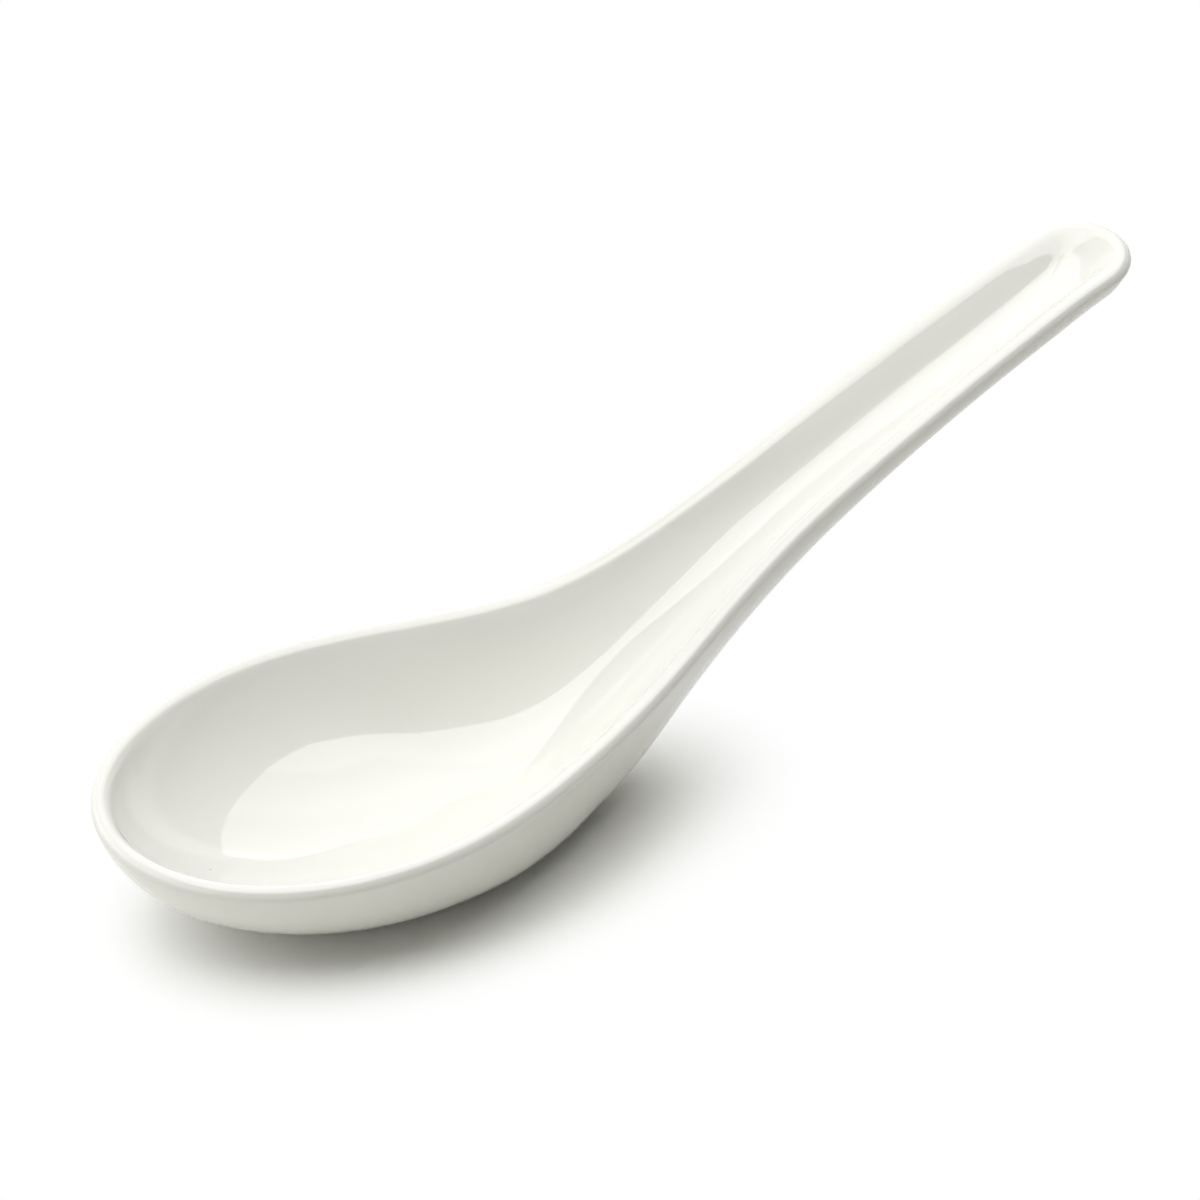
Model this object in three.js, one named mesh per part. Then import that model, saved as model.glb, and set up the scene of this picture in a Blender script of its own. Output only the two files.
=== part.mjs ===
// A porcelain soup spoon of the flat-bottomed Chinese kind: an egg-shaped bowl that runs into a troughed
// handle, in one fired piece, with a glass glaze over everything but the foot.
// Millimetres, +Z up. X runs from the bowl's tip to the handle's end, the spoon is symmetric about Y = 0,
// and the origin is on the table, under the middle of the foot. Distances along the spoon are measured
// from the bowl's tip, at the middle of its rounded lip.
import * as THREE from 'three';

// Plan of the rim, along the middle of the lip
const spoonLength = 135;
const bowlWidth = 44.7;
const widestAt = 28.7;
const neckAt = 93; // where the bowl's flare has run out into the handle
const neckEase = 30.8; // how long before the neck the flare starts to straighten
const neckWidth = 14.4;
const endWidth = 12.4; // where the rounded end of the handle starts
const endRound = 5.2; // length of that rounded end

// The lip and the coat
const lipRadius = 0.75;
const glazeThickness = 0.25;

// Side view of the rim: height of the middle of the lip above the table
const tipRimHeight = 14.65;
const widestRimHeight = 15.6;
const bowlBackAt = 50;
const bowlBackRimHeight = 16.8;
const elbowAt = 64; // where the level bowl turns up into the handle
const elbowRimHeight = 19.45;
const lowHandleAt = 80;
const lowHandleRimHeight = 27.4;
const midHandleAt = 100;
const midHandleRimHeight = 37.65;
const highHandleAt = 120;
const highHandleRimHeight = 46.5;
const endRimHeight = 51.05;
const tipRimSlope = 0;
const endRimSlope = 0.11;

// The bare foot, an oval pad that stands a little proud of the glaze
const footFrontAt = 26;
const footMiddleAt = 42;
const footBackAt = 58;
const footWidth = 15;
const footBackFullness = 3; // how long the foot keeps its width towards its back
const footStep = 0.6; // from the table up to the glazed underside
const footInset = 0.3; // the pad is this much narrower at the table than at the glaze
const footRamp = 1.5; // and this much shorter at its back

// Underside behind the foot: height of the keel above the table
const rootKeelAt = 72;
const rootKeelHeight = 10.6;
const lowKeelAt = 90;
const lowKeelHeight = 25.4;
const highKeelAt = 110;
const highKeelHeight = 37.5;
const endKeelHeight = 46.5;
const endKeelSlope = 0.35;
const endKeelInset = 2.6; // the keel stops this far short of the handle's end
const keelWidth = 3;

// Inside: the bowl's floor, then the trough of the handle
const floorThickness = 3.4;
const floorShare = 0.58; // the flat floor reaches this share of the foot's length forwards
const floorBackAt = 42;
const floorRiseAt = 52;
const floorRiseHeight = 4.9;
const backTroughAt = 62;
const backTroughHeight = 9.8;
const rootTroughAt = 72;
const rootTroughHeight = 16.9;
const lowTroughAt = 90;
const lowTroughHeight = 29.4;
const highTroughAt = 110;
const highTroughHeight = 39.6;
const endTroughHeight = 47.9;
const endTroughSlope = 0.42;
const endTroughInset = 7.5;
const troughLag = 4; // the bottom of the trough falls this far behind the rim before the rounded end

// Steepness of the walls where they meet the lip, in degrees above the level
const outsideAngle = { tip: 75, bowl: 66, handle: 80, end: 66 };
const insideAngle = { tip: 66, bowl: 55, elbow: 65, handle: 48, end: 26 };

// Fullness of the walls: how far each one keeps its direction at the bottom and at the lip, as a share of
// its own run
const outsideBottomFullness = { tip: 0.5, bowl: 0.7, handle: 0.3, end: 0.5 };
const outsideLipFullness = { tip: 0.3, bowl: 0.27, handle: 0.6, end: 0.45 };
const insideBottomFullness = { tip: 0.5, bowl: 0.47, elbow: 0.42, handle: 0.6 };
const insideLipFullness = { tip: 0.17, bowl: 0.27, elbow: 0.22, handle: 0.25 };

// The lip rolls over more gently into the trough of the handle than into the bowl
const insideLipRadius = { tip: lipRadius, bowl: lipRadius, handle: 2.4, end: 2.8 };

// Where the walls change from one shape to the next
const bowlShapeEndsAt = 45;
const elbowShapeAt = 74;
const outsideHandleShapeAt = 92;
const insideHandleShapeAt = 98;
const endShapeLength = 14; // the change to the rounded end takes this last stretch

// Facets
const ribsInBowlFront = 11;
const ribsBesideFoot = 6;
const ribsBehindFoot = 8;
const ribsInHandle = 5;
const ribsInEnd = 6;
const ringsInOutside = 8;
const ringsInLip = 6;
const ringsInInside = 8;

// Rings of one rib, counted from the middle of the underside over the lip to the middle of the inside
const padRing = 1; // edge of the foot pad
const footRing = 2; // edge of the flat underside, where the glaze starts
const outsideRing = footRing + ringsInOutside;
const lipRing = outsideRing + ringsInLip;
const lastRing = lipRing + ringsInInside;

const up = new THREE.Vector3(0, 0, 1);

// A smooth line through [x, height] stations with set slopes at its ends, and no jump in its bend between.
function smoothLine(stations, startSlope, endSlope) {
  const last = stations.length - 1;
  const slopes = stations.map(() => startSlope);
  slopes[last] = endSlope;
  const settlingPasses = 60;
  for (let pass = 0; pass < settlingPasses; pass++) {
    for (let k = 1; k < last; k++) {
      const before = stations[k][0] - stations[k - 1][0];
      const after = stations[k + 1][0] - stations[k][0];
      const riseBefore = (stations[k][1] - stations[k - 1][1]) / before ** 2;
      const riseAfter = (stations[k + 1][1] - stations[k][1]) / after ** 2;
      const neighbours = slopes[k - 1] / before + slopes[k + 1] / after;
      slopes[k] = (3 * (riseBefore + riseAfter) - neighbours) / (2 / before + 2 / after);
    }
  }
  return (x) => {
    let k = 0;
    while (k < last - 1 && x > stations[k + 1][0]) k++;
    const run = stations[k + 1][0] - stations[k][0];
    const t = (x - stations[k][0]) / run;
    const fromStart = (1 + 2 * t) * (1 - t) ** 2 * stations[k][1] + t * (1 - t) ** 2 * run * slopes[k];
    const fromEnd = t * t * (3 - 2 * t) * stations[k + 1][1] + t * t * (t - 1) * run * slopes[k + 1];
    return fromStart + fromEnd;
  };
}

const rimHeight = smoothLine([
  [0, tipRimHeight],
  [widestAt, widestRimHeight],
  [bowlBackAt, bowlBackRimHeight],
  [elbowAt, elbowRimHeight],
  [lowHandleAt, lowHandleRimHeight],
  [midHandleAt, midHandleRimHeight],
  [highHandleAt, highHandleRimHeight],
  [spoonLength, endRimHeight],
], tipRimSlope, endRimSlope);

const keelRise = smoothLine([
  [footBackAt, footStep],
  [rootKeelAt, rootKeelHeight],
  [lowKeelAt, lowKeelHeight],
  [highKeelAt, highKeelHeight],
  [spoonLength - endKeelInset, endKeelHeight],
], 0, endKeelSlope);
const keelHeight = (x) => (x < footBackAt ? footStep : keelRise(x));

const troughRise = smoothLine([
  [floorBackAt, footStep + floorThickness],
  [floorRiseAt, floorRiseHeight],
  [backTroughAt, backTroughHeight],
  [rootTroughAt, rootTroughHeight],
  [lowTroughAt, lowTroughHeight],
  [highTroughAt, highTroughHeight],
  [spoonLength - endTroughInset, endTroughHeight],
], 0, endTroughSlope);
const troughHeight = (x) => (x < floorBackAt ? footStep + floorThickness : troughRise(x));

// Steepness of a line of heights along the spoon.
function slopeOf(line, x) {
  const step = 0.01;
  return (line(x + step) - line(x - step)) / (2 * step);
}

// Share of a curve's length of parameter at which it passes the given x, on a curve that runs along +X.
function shareAtX(curve, x) {
  let low = 0;
  let high = 1;
  const halvings = 40;
  for (let pass = 0; pass < halvings; pass++) {
    const middle = (low + high) / 2;
    if (curve.getPoint(middle).x < x) low = middle;
    else high = middle;
  }
  return (low + high) / 2;
}

// Plan outline of one side of the rim: a quarter oval round the bowl's front, a flare that starts with the
// oval's own bend, the slightly tapered handle, and a quarter oval round its end. The flare is cut where the
// foot ends under it.
function rimOutline() {
  const halfBowl = bowlWidth / 2;
  const halfNeck = neckWidth / 2;
  const halfEnd = endWidth / 2;
  const endAt = spoonLength - endRound;
  const taper = (halfEnd - halfNeck) / (endAt - neckAt);
  const ovalBend = halfBowl / widestAt ** 2;
  const flareStart = Math.sqrt((2 / 3) * (halfBowl - halfNeck) / ovalBend);
  const front = new THREE.EllipseCurve(widestAt, 0, widestAt, halfBowl, Math.PI, Math.PI / 2, true);
  const flare = new THREE.CubicBezierCurve(
    new THREE.Vector2(widestAt, halfBowl),
    new THREE.Vector2(widestAt + flareStart, halfBowl),
    new THREE.Vector2(neckAt - neckEase, halfNeck - taper * neckEase),
    new THREE.Vector2(neckAt, halfNeck),
  );
  const handle = new THREE.LineCurve(new THREE.Vector2(neckAt, halfNeck), new THREE.Vector2(endAt, halfEnd));
  const end = new THREE.EllipseCurve(endAt, 0, endRound, halfEnd, Math.PI / 2, 0, true);
  const padEnd = shareAtX(flare, footBackAt - footRamp);
  const footEnd = shareAtX(flare, footBackAt);
  return [
    { part: 'front', curve: front, from: 0, to: 1, ribs: ribsInBowlFront, isOnFoot: true },
    { part: 'flare', curve: flare, from: 0, to: padEnd, ribs: ribsBesideFoot, isOnFoot: true },
    { part: 'flare', curve: flare, from: padEnd, to: footEnd, ribs: 1, isOnFoot: true },
    { part: 'flare', curve: flare, from: footEnd, to: 1, ribs: ribsBehindFoot, isOnFoot: false },
    { part: 'handle', curve: handle, from: 0, to: 1, ribs: ribsInHandle, isOnFoot: false },
    { part: 'end', curve: end, from: 0, to: 1, ribs: ribsInEnd, isOnFoot: false },
  ];
}

// Where a rib stands on the underside and on the inside: the middle line, and the edge of the flat foot or
// of the narrow keel.
function ribFeet(part, turn, rimX) {
  const endAt = spoonLength - endRound;
  const halfKeel = keelWidth / 2;
  const middleShare = 0.6; // the ribs of the bowl's front spread from a shorter line than the foot
  if (part === 'front') {
    const reach = (footMiddleAt - footFrontAt) * Math.cos(turn);
    const middleX = footMiddleAt - middleShare * reach;
    const insideX = footMiddleAt - floorShare * reach;
    const edge = new THREE.Vector2(footMiddleAt - reach, (footWidth / 2) * Math.sin(turn));
    return { middleX, insideX, edge };
  }
  if (part === 'end') {
    const share = (rimX - endAt) / endRound;
    const keelEndAt = spoonLength - endKeelInset - halfKeel;
    const middleX = THREE.MathUtils.lerp(endAt, keelEndAt, share);
    const insideX = THREE.MathUtils.lerp(endAt - troughLag, spoonLength - endTroughInset, share);
    const edge = new THREE.Vector2(middleX + halfKeel * Math.sin(turn), halfKeel * Math.cos(turn));
    return { middleX, insideX, edge };
  }
  const lead = (footMiddleAt - widestAt) * (1 - THREE.MathUtils.smootherstep(rimX, widestAt, footBackAt));
  const middleX = rimX + lead;
  const along = THREE.MathUtils.clamp((middleX - footMiddleAt) / (footBackAt - footMiddleAt), 0, 1);
  const halfFoot = THREE.MathUtils.lerp(footWidth / 2, halfKeel, along ** footBackFullness);
  const insideX = middleX - troughLag * THREE.MathUtils.smootherstep(rimX, neckAt, endAt);
  return { middleX, insideX, edge: new THREE.Vector2(middleX, halfFoot) };
}

// Blends the tip, bowl, elbow, handle and end values of a shape for one rib.
function shapeMix(part, turn, rimX) {
  const toTip = part === 'front' ? Math.cos(turn) ** 2 : 0;
  const toEnd = THREE.MathUtils.smootherstep(rimX, spoonLength - endShapeLength, spoonLength);
  return ({ tip, bowl, elbow, handle, end }) => {
    let shape = THREE.MathUtils.lerp(bowl, tip, toTip);
    if (elbow === undefined) {
      const toHandle = THREE.MathUtils.smootherstep(rimX, bowlShapeEndsAt, outsideHandleShapeAt);
      shape = THREE.MathUtils.lerp(shape, handle, toHandle);
    } else {
      const toElbow = THREE.MathUtils.smootherstep(rimX, bowlShapeEndsAt, elbowShapeAt);
      shape = THREE.MathUtils.lerp(shape, elbow, toElbow);
      const toHandle = THREE.MathUtils.smootherstep(rimX, elbowShapeAt, insideHandleShapeAt);
      shape = THREE.MathUtils.lerp(shape, handle, toHandle);
    }
    return end === undefined ? shape : THREE.MathUtils.lerp(shape, end, toEnd);
  };
}

// One wall of a rib: a curve that leaves the bottom along its slope and meets the lip at its angle.
function wallCurve(bottom, slope, top, outward, angle, bottomShare, lipShare) {
  const runX = top.x - bottom.x;
  const run = new THREE.Vector3(runX, top.y - bottom.y, slope * runX);
  const bottomHandle = bottom.clone().addScaledVector(run, bottomShare);
  const lipHandle = lipShare * top.distanceTo(bottom);
  const topHandle = top.clone();
  topHandle.addScaledVector(outward, -lipHandle * Math.cos(angle));
  topHandle.addScaledVector(up, -lipHandle * Math.sin(angle));
  return new THREE.CubicBezierCurve3(bottom, bottomHandle, topHandle, top);
}

// Glazed surface along one rib, from the middle of the underside over the lip to the middle of the inside.
function ribPoints({ part, curve, isOnFoot }, t) {
  const rimPlan = curve.getPoint(t);
  const tangent = curve.getTangent(t);
  const outward = new THREE.Vector3(-tangent.y, tangent.x, 0);
  const rim = new THREE.Vector3(rimPlan.x, rimPlan.y, rimHeight(rimPlan.x));
  const turn = (t * Math.PI) / 2;
  const feet = ribFeet(part, turn, rimPlan.x);
  const blend = shapeMix(part, turn, rimPlan.x);
  const lipInsideRadius = blend(insideLipRadius);
  const onLip = (angle, radius) => {
    const point = rim.clone().addScaledVector(outward, radius * Math.cos(angle));
    return point.addScaledVector(up, lipRadius - radius + radius * Math.sin(angle));
  };

  const middle = new THREE.Vector3(feet.middleX, 0, keelHeight(feet.middleX));
  const edge = new THREE.Vector3(feet.edge.x, feet.edge.y, keelHeight(feet.edge.x));
  const inside = new THREE.Vector3(feet.insideX, 0, troughHeight(feet.insideX));
  const outsideSteepness = THREE.MathUtils.degToRad(blend(outsideAngle));
  const insideSteepness = THREE.MathUtils.degToRad(blend(insideAngle));
  const quarterTurn = Math.PI / 2;
  const lipStart = outsideSteepness - quarterTurn;
  const lipEnd = insideSteepness + quarterTurn;
  const outsideWall = wallCurve(edge, slopeOf(keelHeight, edge.x), onLip(lipStart, lipRadius),
    outward, outsideSteepness, blend(outsideBottomFullness), blend(outsideLipFullness));
  const insideWall = wallCurve(inside, slopeOf(troughHeight, inside.x), onLip(lipEnd, lipInsideRadius),
    outward, insideSteepness, blend(insideBottomFullness), blend(insideLipFullness));

  const padShare = isOnFoot ? 1 - footInset / middle.distanceTo(edge) : 0.5;
  const points = [middle, middle.clone().lerp(edge, padShare), edge];
  for (let k = 1; k <= ringsInOutside; k++) points.push(outsideWall.getPoint(k / ringsInOutside));
  for (let k = 1; k <= ringsInLip; k++) {
    const angle = THREE.MathUtils.lerp(lipStart, lipEnd, k / ringsInLip);
    points.push(onLip(angle, angle > quarterTurn ? lipInsideRadius : lipRadius));
  }
  for (let k = 1; k <= ringsInInside; k++) points.push(insideWall.getPoint(1 - k / ringsInInside));
  return { points, isOnFoot };
}

// Ribs of one side, from the bowl's tip to the handle's end.
function sideRibs() {
  const ribs = [];
  const outline = rimOutline();
  for (const span of outline) {
    for (let k = 0; k < span.ribs; k++) {
      ribs.push(ribPoints(span, THREE.MathUtils.lerp(span.from, span.to, k / span.ribs)));
    }
  }
  ribs.push(ribPoints(outline[outline.length - 1], 1));
  return ribs;
}

// The closed skin as shared points and four-cornered cells. The second side mirrors the first, and both
// share the points of the two middle lines and of the two end ribs.
function closedSkin() {
  const ribs = sideRibs();
  const endRib = ribs.length - 1;
  const ribCount = 2 * endRib;
  const points = [];
  const isBare = [];
  const pointAt = new Map();
  const pointIndex = (rib, ring) => {
    const mirrored = (ribCount - rib) % ribCount;
    const onMiddle = ring === 0 || ring === lastRing;
    const owner = onMiddle ? Math.min(rib, mirrored) : rib;
    const key = owner * (lastRing + 1) + ring;
    if (!pointAt.has(key)) {
      const source = ribs[Math.min(owner, mirrored)];
      const point = source.points[ring].clone();
      if (owner > endRib) point.y = -point.y;
      if (onMiddle || owner === 0 || owner === endRib) point.y = 0;
      pointAt.set(key, points.length);
      points.push(point);
      isBare.push(source.isOnFoot && ring <= padRing);
    }
    return pointAt.get(key);
  };

  const cells = [];
  for (let rib = 0; rib < ribCount; rib++) {
    const next = (rib + 1) % ribCount;
    for (let ring = 0; ring < lastRing; ring++) {
      const a = pointIndex(rib, ring);
      const b = pointIndex(rib, ring + 1);
      const c = pointIndex(next, ring + 1);
      const d = pointIndex(next, ring);
      const isBareCell = ring < footRing && (isBare[a] || isBare[d]);
      const triangles = rib < endRib ? [[a, b, c], [a, c, d]] : [[a, b, d], [b, c, d]];
      cells.push({ triangles, isBareCell });
    }
  }
  return { points, isBare, cells };
}

function geometryFrom(points, triangles) {
  const geometry = new THREE.BufferGeometry().setFromPoints(points);
  geometry.setIndex(triangles.flat());
  geometry.computeVertexNormals();
  return geometry;
}

// The clay under the glaze: every point is set back by the coat, and the bare foot stands on the table.
function bodyPoints(skin) {
  const allTriangles = skin.cells.flatMap((cell) => cell.triangles);
  const normals = geometryFrom(skin.points, allTriangles).getAttribute('normal');
  return skin.points.map((point, k) => {
    if (skin.isBare[k]) return new THREE.Vector3(point.x, point.y, 0);
    const normal = new THREE.Vector3().fromBufferAttribute(normals, k);
    return point.clone().addScaledVector(normal, -glazeThickness);
  });
}

// The coat: its glazed face, its back on the clay, and a narrow edge round the bare foot.
function coatGeometry(skin, clay) {
  const faces = skin.cells.filter((cell) => !cell.isBareCell).flatMap((cell) => cell.triangles);
  const backOf = (k) => k + skin.points.length;
  const triangles = faces.flatMap(([a, b, c]) => [[a, b, c], [backOf(a), backOf(c), backOf(b)]]);
  const edges = new Set(faces.flatMap(([a, b, c]) => [`${a} ${b}`, `${b} ${c}`, `${c} ${a}`]));
  for (const edge of edges) {
    const [a, b] = edge.split(' ').map(Number);
    if (edges.has(`${b} ${a}`)) continue;
    triangles.push([b, a, backOf(a)], [b, backOf(a), backOf(b)]);
  }
  const points = [...skin.points, ...clay];
  const used = [...new Set(triangles.flat())];
  const place = new Map(used.map((k, order) => [k, order]));
  const usedPoints = used.map((k) => points[k]);
  return geometryFrom(usedPoints, triangles.map((triangle) => triangle.map((k) => place.get(k))));
}

function namedMesh(name, geometry, material) {
  const mesh = new THREE.Mesh(geometry, material);
  mesh.name = name;
  return mesh;
}

const skin = closedSkin();
const clay = bodyPoints(skin);

const biscuit = new THREE.MeshStandardMaterial({ color: 0xe9e5da, roughness: 0.85, metalness: 0 });
const glaze = new THREE.MeshStandardMaterial({ color: 0xf4f3ec, roughness: 0.08, metalness: 0 });

const spoon = new THREE.Group();
const bodyTriangles = skin.cells.flatMap((cell) => cell.triangles);
spoon.add(namedMesh('porcelain_body', geometryFrom(clay, bodyTriangles), biscuit));
spoon.add(namedMesh('glaze_coat', coatGeometry(skin, clay), glaze));
spoon.position.x = -footMiddleAt;

export default spoon;
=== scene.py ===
import math
import bpy
from mathutils import Matrix, Vector


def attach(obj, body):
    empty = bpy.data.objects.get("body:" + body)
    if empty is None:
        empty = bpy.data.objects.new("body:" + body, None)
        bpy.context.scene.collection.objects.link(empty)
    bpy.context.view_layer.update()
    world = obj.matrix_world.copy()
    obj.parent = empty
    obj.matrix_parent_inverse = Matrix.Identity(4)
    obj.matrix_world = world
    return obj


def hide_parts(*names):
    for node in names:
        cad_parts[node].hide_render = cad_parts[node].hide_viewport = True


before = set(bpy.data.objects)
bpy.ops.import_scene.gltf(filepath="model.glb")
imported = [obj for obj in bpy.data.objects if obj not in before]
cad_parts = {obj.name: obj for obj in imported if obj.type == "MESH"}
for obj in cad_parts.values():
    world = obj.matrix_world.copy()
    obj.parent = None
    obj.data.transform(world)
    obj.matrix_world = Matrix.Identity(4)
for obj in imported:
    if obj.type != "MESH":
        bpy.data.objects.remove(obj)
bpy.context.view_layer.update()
print("frame loaded, nodes:", sorted(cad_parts))

mm = 0.001
up = Vector((0, 0, 1))
quarterTurn = math.pi / 2

# The spoon's skin. Lengths are in millimetres, places count from the middle of the lip at the bowl's tip, and
# angles are in degrees. The Bottom and Lip values say how full a wall's curve is at its two ends.
spoonSkin = {
    "length": 135,
    "bowlWidth": 44.7,
    "widestAt": 28.7,
    "neckAt": 93,
    "neckEase": 30.8,
    "neckWidth": 14.4,
    "endWidth": 12.4,
    "endRound": 5.2,
    "lipReach": 0.75,  # from the lip's middle line to its outside and to its top
    "lipRoll": 1.0,  # radius of the lip's outer side
    "rimLine": [(0, 14.65), (28.7, 15.6), (50, 16.8), (64, 19.45), (80, 27.4), (100, 37.65), (120, 46.5),
                (135, 51.05)],
    "rimSlopes": (0, 0.11),
    "footFrontAt": 26,
    "footMiddleAt": 42,  # the frame's origin lies under it
    "footBackAt": 58,
    "footWidth": 15,
    "footNarrows": (46.75, 62.65),  # where its edges start to close in, and where they reach the keel's
    "footStep": 0.6,
    "footInset": 0.3,
    "footRamp": 1.5,
    "underFanShare": 0.6,  # the tip's ribs spread from a line this share as long as the foot's front half
    "insideFanShare": 0.58,
    "keelLine": [(72, 10.6), (90, 25.4), (110, 37.5), (132.4, 46.5)],  # goes on from the back of the foot
    "keelSlopes": (0, 0.35),
    "keelWidth": 3,
    "troughLine": [(42, 4), (52, 4.9), (62, 9.8), (72, 16.9), (90, 28.7), (110, 39.1), (127.5, 47.6)],
    "troughSlopes": (0, 0.5),
    "troughLag": 4,  # how far the ribs' inside ends stay behind at the handle's end
    "outsideAngle": {"tip": 75, "bowl": 66, "handle": 80, "end": 66},
    "insideAngle": {"tip": 66, "bowl": 55, "elbow": 69, "handle": 42, "end": 34},
    "outsideBottom": {"tip": 0.5, "bowl": 0.7, "handle": 0.3, "end": 0.5},
    "outsideLip": {"tip": 0.3, "bowl": 0.27, "handle": 0.6, "end": 0.45},
    "insideBottom": {"tip": 0.5, "bowl": 0.47, "elbow": 0.4, "handle": 0.63, "end": 0.79},
    "insideLip": {"tip": 0.17, "bowl": 0.27, "elbow": 0.15, "handle": 0.58, "end": 0.48},
    "insideLipRadius": {"tip": 1.4, "bowl": 1.6, "handle": 1.6, "end": 2.1},
    "bowlShapeEndsAt": 45,
    "elbowShapeAt": 74,
    "handleShapeStartsAt": {"outside": 92, "inside": 102},
    "endShapeLength": 16,
    "ribs": {"front": 44, "besideFoot": 28, "ramp": 4, "behindFoot": 40, "handle": 22, "end": 24},
    "rings": {"pad": 5, "outside": 30, "lip": 14, "inside": 34},
    "creaseAngle": 50,  # an edge that turns more than this is drawn crisp
}


def mix(a, b, share):
    return a + (b - a) * share


# A soft step from 0 to 1 between two places
def easeBetween(x, low, high):
    t = min(max((x - low) / (high - low), 0), 1)
    return t ** 3 * (t * (t * 6 - 15) + 10)


# A smooth line through (x, height) stations with set slopes at its ends, and no jump in its bend between
def smoothLine(stations, endSlopes):
    last = len(stations) - 1
    slopes = [endSlopes[0]] * last + [endSlopes[1]]
    settlingPasses = 60
    for _ in range(settlingPasses):
        for k in range(1, last):
            before = stations[k][0] - stations[k - 1][0]
            after = stations[k + 1][0] - stations[k][0]
            rises = (stations[k][1] - stations[k - 1][1]) / before ** 2
            rises += (stations[k + 1][1] - stations[k][1]) / after ** 2
            neighbours = slopes[k - 1] / before + slopes[k + 1] / after
            slopes[k] = (3 * rises - neighbours) / (2 / before + 2 / after)

    def heightAt(x):
        k = 0
        while k < last - 1 and x > stations[k + 1][0]:
            k += 1
        run = stations[k + 1][0] - stations[k][0]
        t = (x - stations[k][0]) / run
        start = (1 + 2 * t) * (1 - t) ** 2 * stations[k][1] + t * (1 - t) ** 2 * run * slopes[k]
        end = t * t * (3 - 2 * t) * stations[k + 1][1] + t * t * (t - 1) * run * slopes[k + 1]
        return start + end
    return heightAt


keelStations = [(spoonSkin["footBackAt"], spoonSkin["footStep"]), *spoonSkin["keelLine"]]
troughStations = spoonSkin["troughLine"]
rimHeight = smoothLine(spoonSkin["rimLine"], spoonSkin["rimSlopes"])
keelRise = smoothLine(keelStations, spoonSkin["keelSlopes"])
troughRise = smoothLine(troughStations, spoonSkin["troughSlopes"])


def keelHeight(x):
    return keelRise(max(x, keelStations[0][0]))


def troughHeight(x):
    return troughRise(max(x, troughStations[0][0]))


def slopeOf(line, x):
    step = 0.01
    return (line(x + step) - line(x - step)) / (2 * step)


# Plan of one side of the rim: a quarter oval, a flare that starts with the oval's bend, the tapered handle
# and a quarter oval round its end. Each span gives its place and direction at a share of its own run.
def rimSpans():
    skin = spoonSkin
    halfBowl = skin["bowlWidth"] / 2
    halfNeck = skin["neckWidth"] / 2
    halfEnd = skin["endWidth"] / 2
    endAt = skin["length"] - skin["endRound"]
    taper = (halfEnd - halfNeck) / (endAt - skin["neckAt"])
    ovalBend = halfBowl / skin["widestAt"] ** 2
    flareStart = math.sqrt((2 / 3) * (halfBowl - halfNeck) / ovalBend)
    flare = [
        Vector((skin["widestAt"], halfBowl)),
        Vector((skin["widestAt"] + flareStart, halfBowl)),
        Vector((skin["neckAt"] - skin["neckEase"], halfNeck - taper * skin["neckEase"])),
        Vector((skin["neckAt"], halfNeck)),
    ]

    def front(t):
        turn = t * quarterTurn
        place = Vector((skin["widestAt"] * (1 - math.cos(turn)), halfBowl * math.sin(turn)))
        return place, Vector((skin["widestAt"] * math.sin(turn), halfBowl * math.cos(turn)))

    def alongFlare(t):
        a, b, c, d = flare
        place = a * (1 - t) ** 3 + b * 3 * t * (1 - t) ** 2 + c * 3 * t * t * (1 - t) + d * t ** 3
        return place, (b - a) * (1 - t) ** 2 + (c - b) * 2 * t * (1 - t) + (d - c) * t * t

    def handle(t):
        return Vector((mix(skin["neckAt"], endAt, t), mix(halfNeck, halfEnd, t))), Vector((1, taper))

    def end(t):
        turn = t * quarterTurn
        place = Vector((endAt + skin["endRound"] * math.sin(turn), halfEnd * math.cos(turn)))
        return place, Vector((skin["endRound"] * math.cos(turn), -halfEnd * math.sin(turn)))

    def flareShareAt(x):
        low = 0
        high = 1
        halvings = 40
        for _ in range(halvings):
            middle = (low + high) / 2
            if alongFlare(middle)[0].x < x:
                low = middle
            else:
                high = middle
        return (low + high) / 2

    padEnd = flareShareAt(skin["footBackAt"] - skin["footRamp"])
    footEnd = flareShareAt(skin["footBackAt"])
    ribs = skin["ribs"]
    return [
        ("front", front, 0, 1, ribs["front"]),
        ("flare", alongFlare, 0, padEnd, ribs["besideFoot"]),
        ("flare", alongFlare, padEnd, footEnd, ribs["ramp"]),
        ("flare", alongFlare, footEnd, 1, ribs["behindFoot"]),
        ("handle", handle, 0, 1, ribs["handle"]),
        ("end", end, 0, 1, ribs["end"]),
    ]


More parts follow.
